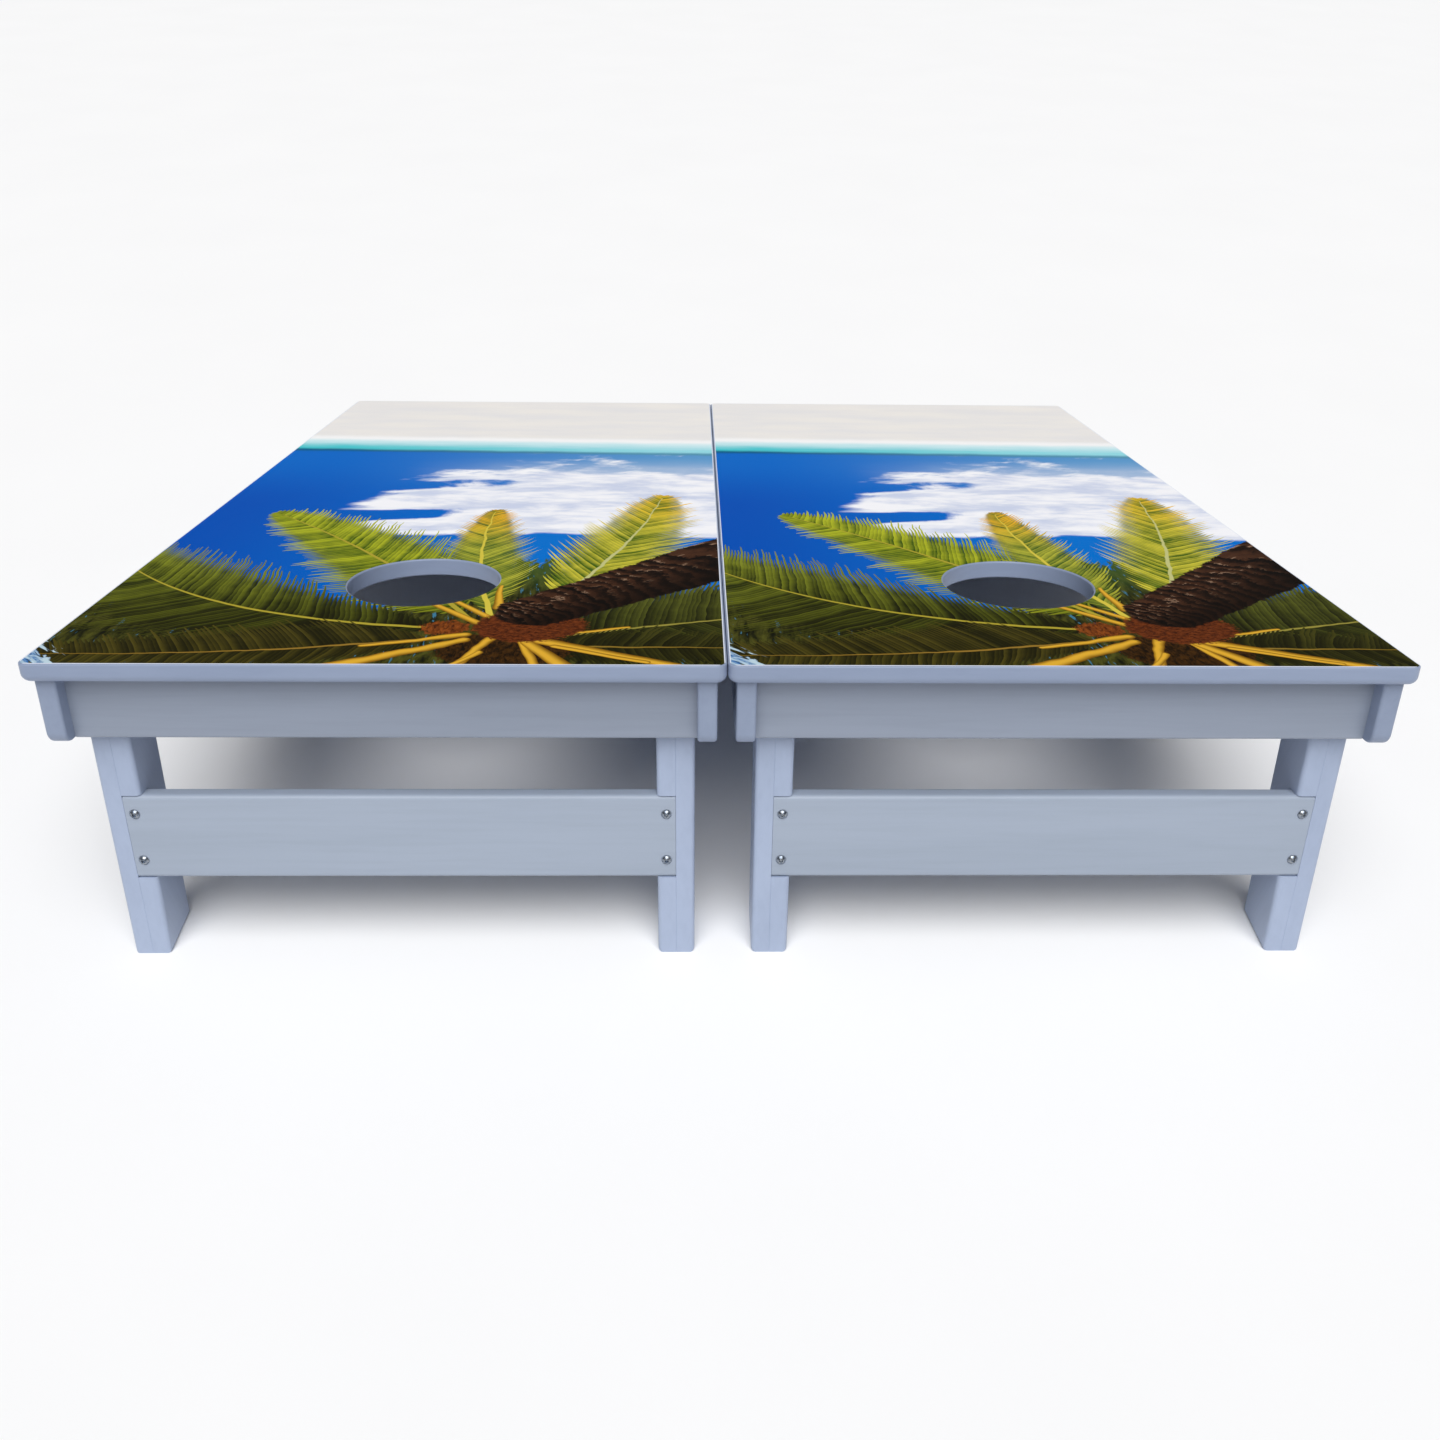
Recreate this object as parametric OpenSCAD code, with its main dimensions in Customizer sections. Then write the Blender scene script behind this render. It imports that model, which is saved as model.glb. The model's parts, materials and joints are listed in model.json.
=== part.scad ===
// A pair of bag toss boards standing side by side.
// Each board is a tilted deck on a shallow rail frame, with a leg frame that folds under it.
// Row frame: +X runs from board 1 to board 2, +Y from the raised rear to the low front, +Z up.
// The origin is on the ground, in the middle of the pair's box.
// Board frame: x from the board's middle, y forward from the deck's rear edge, z up from the deck's top.

/* [Deck] */
// Width of each deck
deck_w = 610; // [600:1:620]
// Length of each deck
deck_l = 1219; // [1210:1:1228]
// Thickness of the deck panel
deck_t = 18; // [16:0.5:19]
// Corner radius of the deck in plan
deck_corner_r = 10; // [8:1:30]
// Diameter of the bag hole
hole_d = 152.4; // [150:0.1:156]
// From the deck's rear edge to the middle of the bag hole
hole_from_rear = 229; // [226:1:232]
// Height of the deck's rear top edge above the ground
rear_h = 328; // [305:1:335]
// Gap between the two decks
board_gap = 0.5; // [0.5:0.5:20]

/* [Printed film] */
// Thickness of the printed film
film_t = 0.3; // [0.2:0.05:0.5]
// Bare margin between the film and the deck's edges and hole
film_margin = 1.7; // [1:0.1:4]

/* [Rail frame] */
// Thickness of the rails, leg plies and stretcher
stock_t = 18; // [16:0.5:19]
// Height of the rails
rail_h = 63.5; // [60:0.5:66]
// Deck overhang past the side rails
side_overhang = 8; // [5:0.5:12]
// Deck overhang past the ends of the side rails
end_overhang = 10; // [6:0.5:14]
// Set-back of the end rails from the ends of the side rails
end_rail_inset = 15; // [10:0.5:18]
// Radius of the side rails' lower corners
rail_corner_r = 12; // [8:0.5:16]

/* [Leg frame] */
// Depth of a leg, front to back
leg_depth = 57; // [52:0.5:57.5]
// Gap between a leg and its side rail
leg_gap = 2; // [1.6:0.1:3]
// Clearance between the legs and the rear rail that stops them
stop_gap = 0.4; // [0.3:0.1:1]
// Height of the stretcher
stretcher_h = 89; // [80:1:95]
// From the deck's top down to the stretcher's upper edge
stretcher_drop = 150; // [140:1:160]

/* [Fasteners] */
// Diameter of the pivot bolts
bolt_d = 9.52; // [9:0.01:10]
// Length of the pivot bolts under the head
bolt_l = 65; // [64:0.5:70]
// Length of the stretcher screws under the head
stretcher_screw_l = 45; // [35:1:50]
// Length of the rail screws, countersunk flush
rail_screw_l = 50; // [40:1:55]
// Slant of the pocket screws that hold the rails to the deck
pocket_angle = 15; // [14:0.5:17]

/* [Hidden] */
$fn = 64;
BOARD_NODES = [
    "deck", "print_film", "left_rail", "right_rail", "rear_rail", "front_rail", "cross_brace",
    "rail_screws", "pocket_screws", "pivot_bolts", "spacer_washers", "leg_washers", "lock_nuts",
    "left_leg_outer_ply", "left_leg_inner_ply", "right_leg_outer_ply", "right_leg_inner_ply",
    "stretcher", "stretcher_screws",
];

LEFT = -1;
RIGHT = 1;
hole_fn = 180;
cut = 1;            // how far a cutting tool runs past the face it opens
fit_gap = 0.05;     // radial clearance of a fixed fastener in its hole
pivot_gap = 0.09;   // radial clearance of the turning leg on its bolt

// Rails
frame_half_w = deck_w / 2 - side_overhang;
rail_top = -deck_t;
rail_bottom = -deck_t - rail_h;
rail_mid = -deck_t - rail_h / 2;
rail_rear = end_overhang;
rail_front = deck_l - end_overhang;
rear_rail_y = rail_rear + end_rail_inset;
front_rail_y = rail_front - end_rail_inset - stock_t;
brace_y = deck_l / 2 - stock_t / 2;
end_rail_l = 2 * (frame_half_w - stock_t);

// Tilt: the lower front corners of the side rails and the feet stand on the ground
corner_y = rail_front - rail_corner_r;
corner_drop = deck_t + rail_h - rail_corner_r;
tilt = asin((rear_h - rail_corner_r) / norm([corner_y, corner_drop])) - atan2(corner_drop, corner_y);

// Legs
leg_rear_y = rear_rail_y + stock_t + stop_gap;
leg_outer_x = frame_half_w - stock_t - leg_gap;
leg_seam_x = leg_outer_x - stock_t;
leg_inner_x = leg_seam_x - stock_t;
pivot_y = leg_rear_y + leg_depth / 2;
pivot_z = rail_mid;
function ground_z(y) = -(rear_h - y * sin(tilt)) / cos(tilt);

// Place of the pair: the box is centred front to back between the rear feet and the front edge
foot_back_y = leg_rear_y * cos(tilt) + ground_z(leg_rear_y) * sin(tilt);
pair_mid_y = (foot_back_y + deck_l * cos(tilt)) / 2;
board_x = (deck_w + board_gap) / 2;

// Pivot hardware
bolt_head_r = 10.5;
bolt_head_h = 5;
bolt_neck = 9.5;
bolt_neck_l = 5;
bolt_recess_r = 12;
bolt_recess = bolt_head_h + 0.2;    // depth of the counterbore that hides the head
bolt_seat_x = frame_half_w - bolt_recess;
washer_r = 11;
washer_t = 1.8;
washer_play = (leg_gap - washer_t) / 2;
nut_across_corners = 16.5;
nut_hex_h = 6.4;
nut_collar_r = 6.6;
nut_collar_h = 2;

// Screws
stretcher_screw_r = 2.4;
stretcher_head_r = 4.4;
stretcher_head_h = 2.8;
stretcher_screw_inset = stock_t / 2;
stretcher_screw_edge = 19.5;    // from the stretcher's upper and lower edges
stretcher_screw_z = [
    -stretcher_drop - stretcher_screw_edge,
    -stretcher_drop - stretcher_h + stretcher_screw_edge,
];
rail_screw_r = 2.1;
rail_screw_head_r = 4;
rail_screw_head_h = 3;
rail_screw_edge = 16;           // from the rail's upper and lower edges
rail_screw_z = [rail_top - rail_screw_edge, rail_bottom + rail_screw_edge];
pocket_screw_r = 1.9;
pocket_screw_bite = 12;
pocket_screw_run = 17;
pocket_head_r = 4.3;
pocket_head_h = 2.6;
pocket_r = 4.75;
pocket_l = 38;
drive_r = 1.7;
drive_depth = 1.6;
side_pocket_y = [for (i = [0:3]) rail_rear + (rail_front - rail_rear) * (i + 0.5) / 4];
end_pocket_x = [-end_rail_l / 4, end_rail_l / 4];

function dome_sphere_r(r, h) = (r * r + h * h) / (2 * h);

// ---- Helpers ----

// Puts a piece drawn in the board frame on board 1 or board 2
module on_board(n) {
    translate([n == 1 ? -board_x : board_x, -pair_mid_y, rear_h]) rotate([-tilt, 0, 0]) children();
}

// Stands a (y, z) outline up as a plate that starts at x and is t thick
module side_plate(x, t) {
    translate([x, 0, 0]) rotate([90, 0, 90]) linear_extrude(t) children();
}

// Rounded rectangle from its middle
module rounded_rectangle(w, l, r) {
    union() {
        square([w - 2 * r, l], center = true);
        square([w, l - 2 * r], center = true);
        for (sx = [-1, 1], sy = [-1, 1]) translate([sx * (w / 2 - r), sy * (l / 2 - r)]) circle(r);
    }
}

// Dome of radius r at its foot, rising h below z = 0
module dome(r, h) {
    rotate_extrude() intersection() {
        translate([0, dome_sphere_r(r, h) - h]) circle(dome_sphere_r(r, h));
        translate([0, -h]) square([r, h]);
    }
}

// Points +Z from the side of a board towards its middle, at height z
module at_side(side, x, y, z) {
    translate([side * x, y, z]) rotate([0, -90 * side, 0]) children();
}

// Fixings that run in through a side rail: both end rails and the brace
module at_rail_screws(side) {
    for (y = [rear_rail_y, front_rail_y, brace_y], z = rail_screw_z)
        at_side(side, frame_half_w, y + stock_t / 2, z) children();
}

// Slanted fixings up into the deck, each with +Z running back down to its head
module at_side_pockets(side) {
    for (y = side_pocket_y)
        translate([side * (frame_half_w - stock_t / 2), y, rail_top])
            rotate([0, 180 + side * pocket_angle, 0]) children();
}
module at_end_pockets(rail_y, inward) {
    for (x = end_pocket_x)
        translate([x, rail_y + stock_t / 2, rail_top])
            rotate([180 + inward * pocket_angle, 0, 0]) children();
}

// Stretcher screws, with +Z running forward from the stretcher's rear face
module at_stretcher_screws() {
    for (side = [LEFT, RIGHT], z = stretcher_screw_z)
        translate([side * (leg_seam_x - stretcher_screw_inset), leg_rear_y, z])
            rotate([-90, 0, 0]) children();
}

// ---- Holes ----

module rail_screw_hole() {
    translate([0, 0, -cut]) cylinder(r = rail_screw_r + fit_gap, h = rail_screw_l + cut + fit_gap);
    cylinder(r1 = rail_screw_head_r + fit_gap, r2 = rail_screw_r + fit_gap, h = rail_screw_head_h);
    translate([0, 0, -cut]) cylinder(r = rail_screw_head_r + fit_gap, h = cut);
}

module pocket_hole() {
    translate([0, 0, -cut]) cylinder(r = pocket_screw_r + fit_gap, h = pocket_screw_run + 2 * cut);
    translate([0, 0, pocket_screw_run]) cylinder(r = pocket_r, h = pocket_l);
}

module pocket_pilot() {
    translate([0, 0, -pocket_screw_bite - fit_gap])
        cylinder(r = pocket_screw_r + fit_gap, h = pocket_screw_bite + fit_gap + cut);
}

// Counterbored from the rail's outer face, with a square seat for the bolt's neck
module bolt_hole() {
    translate([0, 0, -cut]) cylinder(r = bolt_recess_r, h = bolt_recess + cut);
    translate([0, 0, bolt_recess - cut]) cylinder(d = bolt_d + 2 * fit_gap, h = stock_t + cut);
    translate([0, 0, bolt_recess + bolt_neck_l / 2 - cut / 2])
        cube([bolt_neck + 2 * fit_gap, bolt_neck + 2 * fit_gap, bolt_neck_l + cut + fit_gap], center = true);
}

// ---- Board ----

module deck() {
    color("lightsteelblue") difference() {
        translate([0, deck_l / 2, -deck_t])
            linear_extrude(deck_t) rounded_rectangle(deck_w, deck_l, deck_corner_r);
        translate([0, hole_from_rear, -deck_t - cut])
            cylinder(d = hole_d, h = deck_t + 2 * cut, $fn = hole_fn);
        for (side = [LEFT, RIGHT]) at_side_pockets(side) pocket_pilot();
        at_end_pockets(rear_rail_y, 1) pocket_pilot();
        at_end_pockets(front_rail_y, -1) pocket_pilot();
    }
}

module print_film() {
    color("royalblue") difference() {
        translate([0, deck_l / 2, 0]) linear_extrude(film_t) rounded_rectangle(
            deck_w - 2 * film_margin, deck_l - 2 * film_margin, deck_corner_r - film_margin);
        translate([0, hole_from_rear, -cut])
            cylinder(r = hole_d / 2 + film_margin, h = film_t + 2 * cut, $fn = hole_fn);
    }
}

// Side rail outline: a plank with its two lower corners rounded
module side_rail_outline() {
    length = rail_front - rail_rear;
    union() {
        translate([rail_rear, rail_bottom + rail_corner_r]) square([length, rail_h - rail_corner_r]);
        translate([rail_rear + rail_corner_r, rail_bottom]) square([length - 2 * rail_corner_r, rail_h]);
        for (y = [rail_rear + rail_corner_r, rail_front - rail_corner_r])
            translate([y, rail_bottom + rail_corner_r]) circle(rail_corner_r);
    }
}

module side_rail(side) {
    start = side == LEFT ? -frame_half_w : frame_half_w - stock_t;
    color("lightsteelblue") difference() {
        side_plate(start, stock_t) side_rail_outline();
        at_rail_screws(side) rail_screw_hole();
        at_side_pockets(side) pocket_hole();
        at_side(side, frame_half_w, pivot_y, pivot_z) bolt_hole();
    }
}

// Rail that runs across between the side rails, drilled for their screws
module cross_rail(y) {
    difference() {
        translate([-end_rail_l / 2, y, rail_bottom]) cube([end_rail_l, stock_t, rail_h]);
        for (side = [LEFT, RIGHT]) at_rail_screws(side) rail_screw_hole();
    }
}

module end_rail(y, inward) {
    color("slategray") difference() {
        cross_rail(y);
        at_end_pockets(y, inward) pocket_hole();
    }
}

module cross_brace() {
    color("slategray") cross_rail(brace_y);
}

// ---- Leg frame ----

// Leg outline: round about the pivot, square-edged below, its sole cut level with the ground
module leg_outline() {
    union() {
        translate([pivot_y, pivot_z]) circle(leg_depth / 2);
        polygon([
            [leg_rear_y, pivot_z],
            [leg_rear_y, ground_z(leg_rear_y)],
            [leg_rear_y + leg_depth, ground_z(leg_rear_y + leg_depth)],
            [leg_rear_y + leg_depth, pivot_z],
        ]);
    }
}

module leg_ply(side, outer_x) {
    start = side == LEFT ? -outer_x : outer_x - stock_t;
    difference() {
        side_plate(start, stock_t) leg_outline();
        at_side(side, outer_x + cut, pivot_y, pivot_z)
            cylinder(d = bolt_d + 2 * pivot_gap, h = stock_t + 2 * cut);
    }
}

module leg_outer_ply(side) {
    color("lavender") leg_ply(side, leg_outer_x);
}

// The inner ply is housed for the end of the stretcher
module leg_inner_ply(side) {
    start = side == LEFT ? -leg_seam_x - cut : leg_inner_x - cut;
    color("thistle") difference() {
        leg_ply(side, leg_seam_x);
        translate([start, leg_rear_y - cut, -stretcher_drop - stretcher_h])
            cube([stock_t + 2 * cut, stock_t + cut, stretcher_h]);
        at_stretcher_screws()
            cylinder(r = stretcher_screw_r + fit_gap, h = stretcher_screw_l + fit_gap);
    }
}

module stretcher() {
    color("lightsteelblue") difference() {
        translate([-leg_seam_x, leg_rear_y, -stretcher_drop - stretcher_h])
            cube([2 * leg_seam_x, stock_t, stretcher_h]);
        at_stretcher_screws() translate([0, 0, -cut])
            cylinder(r = stretcher_screw_r + fit_gap, h = stock_t + 2 * cut);
    }
}

// ---- Fasteners ----

// Pan head screw with a star drive
module stretcher_screws() {
    color("silver") at_stretcher_screws() difference() {
        union() {
            cylinder(r = stretcher_screw_r, h = stretcher_screw_l);
            dome(stretcher_head_r, stretcher_head_h);
        }
        for (turn = [0, 30]) translate([0, 0, -stretcher_head_h - cut]) rotate(turn)
            cylinder(r = drive_r, h = drive_depth + cut, $fn = 6);
    }
}

// Countersunk screws that join the side rails to the end rails and the brace
module rail_screws() {
    color("silver") for (side = [LEFT, RIGHT]) at_rail_screws(side) difference() {
        union() {
            cylinder(r = rail_screw_r, h = rail_screw_l);
            cylinder(r1 = rail_screw_head_r, r2 = rail_screw_r, h = rail_screw_head_h);
        }
        translate([0, 0, -cut]) cylinder(r = drive_r, h = drive_depth + cut, $fn = 6);
    }
}

// Washer head screw, drawn from its tip in the deck down to its head in the pocket
module pocket_screw() {
    difference() {
        union() {
            translate([0, 0, -pocket_screw_bite])
                cylinder(r = pocket_screw_r, h = pocket_screw_bite + pocket_screw_run + cut);
            translate([0, 0, pocket_screw_run]) cylinder(r = pocket_head_r, h = pocket_head_h);
        }
        translate([0, 0, pocket_screw_run + pocket_head_h - drive_depth])
            cylinder(r = drive_r, h = drive_depth + cut, $fn = 4);
    }
}

module pocket_screws() {
    color("gold") {
        for (side = [LEFT, RIGHT]) at_side_pockets(side) pocket_screw();
        at_end_pockets(rear_rail_y, 1) pocket_screw();
        at_end_pockets(front_rail_y, -1) pocket_screw();
    }
}

// Carriage bolt: domed head sunk in the rail's outer face, square neck in it, shank through the leg
module carriage_bolt() {
    union() {
        cylinder(d = bolt_d, h = bolt_l);
        translate([0, 0, bolt_neck_l / 2]) cube([bolt_neck, bolt_neck, bolt_neck_l], center = true);
        dome(bolt_head_r, bolt_head_h);
    }
}

module pivot_bolts() {
    color("silver") for (side = [LEFT, RIGHT]) at_side(side, bolt_seat_x, pivot_y, pivot_z) carriage_bolt();
}

module washers(outer_x) {
    color("gainsboro") for (side = [LEFT, RIGHT]) at_side(side, outer_x, pivot_y, pivot_z) difference() {
        cylinder(r = washer_r, h = washer_t);
        translate([0, 0, -cut]) cylinder(d = bolt_d + 2 * fit_gap, h = washer_t + 2 * cut);
    }
}

// Hex nut with a round nylon collar
module lock_nuts() {
    nut_x = leg_inner_x - washer_play - washer_t;
    color("silver") for (side = [LEFT, RIGHT]) at_side(side, nut_x, pivot_y, pivot_z) difference() {
        union() {
            cylinder(d = nut_across_corners, h = nut_hex_h, $fn = 6);
            cylinder(r = nut_collar_r, h = nut_hex_h + nut_collar_h);
        }
        translate([0, 0, -cut]) cylinder(d = bolt_d + 2 * fit_gap, h = nut_hex_h + nut_collar_h + 2 * cut);
    }
}

// ---- The pair ----

for (n = [1, 2]) {
    on_board(n) deck();
    on_board(n) print_film();
    on_board(n) side_rail(LEFT);
    on_board(n) side_rail(RIGHT);
    on_board(n) end_rail(rear_rail_y, 1);
    on_board(n) end_rail(front_rail_y, -1);
    on_board(n) cross_brace();
    on_board(n) rail_screws();
    on_board(n) pocket_screws();
    on_board(n) pivot_bolts();
    on_board(n) washers(frame_half_w - stock_t - washer_play);
    on_board(n) washers(leg_inner_x - washer_play);
    on_board(n) lock_nuts();
    on_board(n) leg_outer_ply(LEFT);
    on_board(n) leg_inner_ply(LEFT);
    on_board(n) leg_outer_ply(RIGHT);
    on_board(n) leg_inner_ply(RIGHT);
    on_board(n) stretcher();
    on_board(n) stretcher_screws();
}
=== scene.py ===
"""A pair of bag toss boards: painted wood, plated fasteners and a printed beach scene on each deck."""

import json
import math

import bmesh
import bpy
from mathutils import Matrix, Vector


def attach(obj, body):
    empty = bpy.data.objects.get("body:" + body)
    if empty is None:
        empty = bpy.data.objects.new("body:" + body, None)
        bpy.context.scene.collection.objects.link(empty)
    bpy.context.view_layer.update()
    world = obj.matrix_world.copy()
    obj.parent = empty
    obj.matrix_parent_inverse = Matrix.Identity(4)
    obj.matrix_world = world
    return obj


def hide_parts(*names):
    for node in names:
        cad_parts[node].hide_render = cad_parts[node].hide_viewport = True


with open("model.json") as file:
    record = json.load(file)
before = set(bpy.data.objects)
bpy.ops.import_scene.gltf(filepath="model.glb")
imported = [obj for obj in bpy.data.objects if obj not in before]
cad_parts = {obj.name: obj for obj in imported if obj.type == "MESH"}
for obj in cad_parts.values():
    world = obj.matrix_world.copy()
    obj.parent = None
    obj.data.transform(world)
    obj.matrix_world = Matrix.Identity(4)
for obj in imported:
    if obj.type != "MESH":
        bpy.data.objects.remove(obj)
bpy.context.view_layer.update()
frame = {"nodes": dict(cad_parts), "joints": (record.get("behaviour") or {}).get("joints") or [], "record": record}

MM = 0.001
BOARDS = (1, 2)
SIDES = {"left": -1, "right": 1}

# Wood
DECK_CORNER = 10 * MM
DECK_TOP_ROUND = 1.6 * MM
DECK_BOTTOM_ROUND = 7.5 * MM
HOLE_TOP_ROUND = 1.7 * MM
HOLE_BOTTOM_ROUND = 1.5 * MM
HOLE_STEPS = 144
FILM_CORNER = 8.3 * MM
RAIL_CORNER = 12 * MM
RAIL_ROUND = 3 * MM
LEG_ROUND = 4.5 * MM
SEAM_ROUND = 0.25 * MM
STRETCHER_ROUND = 4.5 * MM
HOUSING_GAP = 0.15 * MM
OVERRUN = 10 * MM

# Pocket holes: radius, lean from the rail's height, and where the cut starts and ends along it
POCKET_RADIUS = 4.75 * MM
POCKET_SLANT = math.radians(15)
POCKET_START = 17 * MM
POCKET_END = 55 * MM

# Pivot bolts, their nuts and washers
BOLT_RADIUS = 4.76 * MM
BOLT_PLAY = 0.09 * MM
BOLT_HEAD_RADIUS = 10.5 * MM
BOLT_HEAD_HEIGHT = 5 * MM
BOLT_HEAD_EDGE = 0.4 * MM
BOLT_RECESS_RADIUS = 12 * MM
THREAD_PITCH = 1.6 * MM
THREAD_TURNS = 16
THREAD_DEPTH = 0.7 * MM
NUT_RADIUS = 8.25 * MM
NUT_HEX_HEIGHT = 6.4 * MM
NUT_EDGE_ROUND = 0.7 * MM
COLLAR_RADIUS = 6.6 * MM
COLLAR_HEIGHT = 2 * MM
# Rims of the crimped collar and its insert, as (in, down) from the collar's outer top corner
COLLAR_RIM = [(0, 3 * MM), (0, 0.8 * MM), (0.3 * MM, 0.2 * MM), (0.9 * MM, 0), (1.3 * MM, 0.5 * MM)]
INSERT_RIM = [(1.3 * MM, 0.6 * MM), (1.5 * MM, 0.2 * MM)]
WASHER_RADIUS = 11 * MM
WASHER_BORE = 4.95 * MM
WASHER_THICKNESS = 1.8 * MM
WASHER_EDGE = 0.3 * MM

# Stretcher screws, with the paint dimpled round each head
PAN_HEAD_RADIUS = 4.4 * MM
PAN_HEAD_RIM = 0.6 * MM
PAN_HEAD_DOME = 2.2 * MM
PAN_HEAD_HEIGHT = PAN_HEAD_RIM + PAN_HEAD_DOME
PAN_SHANK_RADIUS = 2.4 * MM
DIMPLE_RADIUS = 6.2 * MM
DIMPLE_FLOOR_RADIUS = 4.6 * MM
DIMPLE_DEPTH = 0.7 * MM

# Rail screws, flush in countersinks
FLUSH_HEAD_RADIUS = 3.9 * MM
FLUSH_HEAD_HEIGHT = 3 * MM
FLUSH_HEAD_EDGE = 0.3 * MM
FLUSH_HEAD_SINK = 0.1 * MM
FLUSH_SHANK_RADIUS = 2.1 * MM
COUNTERSINK_RADIUS = 4.2 * MM
COUNTERSINK_DEPTH = 3.2 * MM
COUNTERSINK_SINK = 1.4 * MM
SCREW_POINT = 3 * MM

# Six-lobed drive recesses: the lobes' taper, the cut's overrun, and each screw's (radius, depth)
DRIVE_TAPER = 0.82
DRIVE_OVERRUN = 0.3 * MM
PAN_DRIVE = (2.1 * MM, 2.2 * MM)
FLUSH_DRIVE = (1.8 * MM, 1.9 * MM)


# ---- Places, from the frame ----

def mount(name):
    return next(m for m in frame["record"]["mounts"] if m["name"] == name)


def joint(name):
    return next(j for j in frame["joints"] if j["name"] == name)


def board_turn(number):
    """Rotation from board axes to row axes: x across, y forward along the deck, z up off its top."""
    up = Vector(mount(f"board{number}_bag_hole")["axis"]).normalized()
    across = Vector((1, 0, 0))
    return Matrix((across, up.cross(across), up)).transposed()


def corners(points):
    return (Vector([min(p[i] for p in points) for i in range(3)]),
            Vector([max(p[i] for p in points) for i in range(3)]))


def board_place(number):
    """Matrix from board coordinates, which start at the middle of the deck's rear top edge, to row ones."""
    turn = board_turn(number)
    back = turn.inverted()
    low, high = corners([back @ v.co for v in frame["nodes"][f"board{number}_deck"].data.vertices])
    return Matrix.Translation(turn @ Vector(((low.x + high.x) / 2, low.y, high.z))) @ turn.to_4x4()


PLACE = {number: board_place(number) for number in BOARDS}
TILT = math.asin(board_turn(1)[2][1])


def node_name(number, part):
    return f"board{number}_{part}"


def board_points(number, part):
    back = PLACE[number].inverted()
    return [back @ v.co for v in frame["nodes"][node_name(number, part)].data.vertices]


def board_box(number, part):
    """A CAD node's lowest and highest corners in board coordinates."""
    return corners(board_points(number, part))


def islands(number, part):
    """The boxes, in board coordinates, of a node's separate solids."""
    mesh = bmesh.new()
    mesh.from_mesh(frame["nodes"][node_name(number, part)].data)
    bmesh.ops.transform(mesh, matrix=PLACE[number].inverted(), verts=mesh.verts)
    bmesh.ops.remove_doubles(mesh, verts=mesh.verts, dist=0.01 * MM)
    found, seen = [], set()
    for start in mesh.verts:
        if start in seen:
            continue
        reached, edge = {start}, [start]
        while edge:
            for link in edge.pop().link_edges:
                for vert in link.verts:
                    if vert not in reached:
                        reached.add(vert)
                        edge.append(vert)
        seen |= reached
        found.append(corners([vert.co for vert in reached]))
    mesh.free()
    return found


# ---- Shaping helpers, all in board coordinates ----

def block(low, high):
    """A box as a bmesh."""
    mesh = bmesh.new()
    bmesh.ops.create_cube(mesh, size=1)
    bmesh.ops.scale(mesh, vec=high - low, verts=mesh.verts)
    bmesh.ops.translate(mesh, vec=(low + high) / 2, verts=mesh.verts)
    return mesh


def round_edges(mesh, radius, segments, pick):
    """Rounds the edges that pick(middle, direction) accepts."""
    chosen = []
    for edge in mesh.edges:
        a, b = (vert.co for vert in edge.verts)
        if pick((a + b) / 2, (b - a).normalized()):
            chosen.append(edge)
    bmesh.ops.bevel(mesh, geom=chosen, offset=radius, offset_type="OFFSET", segments=segments,
                    profile=0.5, affect="EDGES", clamp_overlap=False, material=-1)


def near(a, b):
    return abs(a - b) < 0.02 * MM


def turned(profile, steps=48, ring=False):
    """A solid turned about +Z from (radius, height) points, from axis to axis or round a ring."""
    mesh = bmesh.new()
    verts = [mesh.verts.new((radius, 0, height)) for radius, height in profile]
    ends = verts[1:] + verts[:1] if ring else verts[1:]
    edges = [mesh.edges.new(pair) for pair in zip(verts, ends)]
    bmesh.ops.spin(mesh, geom=verts + edges, cent=(0, 0, 0), axis=(0, 0, 1), dvec=(0, 0, 0),
                   angle=math.tau, steps=steps, use_merge=True, use_duplicate=False)
    bmesh.ops.remove_doubles(mesh, verts=mesh.verts, dist=0.001 * MM)
    bmesh.ops.recalc_face_normals(mesh, faces=mesh.faces)
    return mesh


def tapered(low_radius, high_radius, depth, segments):
    """A round or many-sided solid about +Z with its middle at the origin."""
    mesh = bmesh.new()
    bmesh.ops.create_cone(mesh, cap_ends=True, segments=segments, radius1=low_radius, radius2=high_radius,
                          depth=depth)
    return mesh


def along(direction, at):
    """Matrix that stands a piece made along +Z at a point, pointing that way."""
    return Matrix.Translation(at) @ Vector(direction).to_track_quat("Z", "Y").to_matrix().to_4x4()


def added(mesh, other, matrix=None):
    """Moves other into mesh, placed by matrix."""
    if matrix is not None:
        bmesh.ops.transform(other, matrix=matrix, verts=other.verts)
    loose = bpy.data.meshes.new("loose")
    other.to_mesh(loose)
    other.free()
    mesh.from_mesh(loose)
    bpy.data.meshes.remove(loose)
    return mesh


def new_object(name, mesh):
    data = bpy.data.meshes.new(name)
    mesh.to_mesh(data)
    mesh.free()
    thing = bpy.data.objects.new(name, data)
    bpy.context.scene.collection.objects.link(thing)
    return thing


def carved(mesh, cutter):
    """mesh with cutter's solids cut out of it."""
    body, tool = new_object("carved", mesh), new_object("cutter", cutter)
    boolean = body.modifiers.new("cut", "BOOLEAN")
    boolean.operation = "DIFFERENCE"
    boolean.solver = "EXACT"
    boolean.object = tool
    result = bmesh.new()
    result.from_object(body, bpy.context.evaluated_depsgraph_get())
    for thing in (body, tool):
        data = thing.data
        bpy.data.objects.remove(thing)
        bpy.data.meshes.remove(data)
    bmesh.ops.remove_doubles(result, verts=result.verts, dist=0.01 * MM)
    return result


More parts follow.
